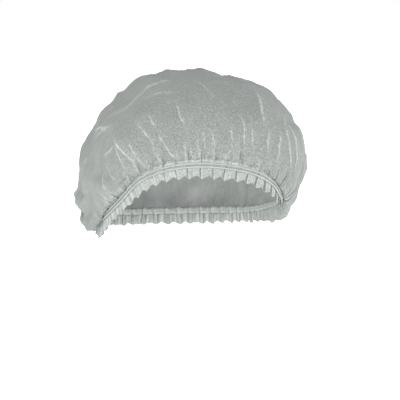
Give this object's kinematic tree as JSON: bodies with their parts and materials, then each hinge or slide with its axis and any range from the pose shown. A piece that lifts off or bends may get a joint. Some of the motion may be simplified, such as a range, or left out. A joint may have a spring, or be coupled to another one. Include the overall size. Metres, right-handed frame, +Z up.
{
  "type": "disposable hair cover cap",
  "caption": "Pale grey non-woven hair cover cap, puffed out as worn, gathered by a double elastic with a pleated frill below it.",
  "frame": {"origin": "where the crown's underside rests on the top of the wearer's head", "axes": "+Z up through the crown, -Y the way the wearer faces, +X to the wearer's left"},
  "size_m": [0.1916, 0.2266, 0.1423],
  "materials": {
    "Nonwoven sheet": "spunbond polypropylene, thin, pale grey, semi-transparent",
    "Nonwoven frill": "the same sheet, pleated",
    "Elastic strand": "covered elastic thread, off-white"
  },
  "bodies": {
    "root": {"crown": "Nonwoven sheet", "frill": "Nonwoven frill", "elastic_upper": "Elastic strand", "elastic_lower": "Elastic strand"}
  },
  "joints": []
}
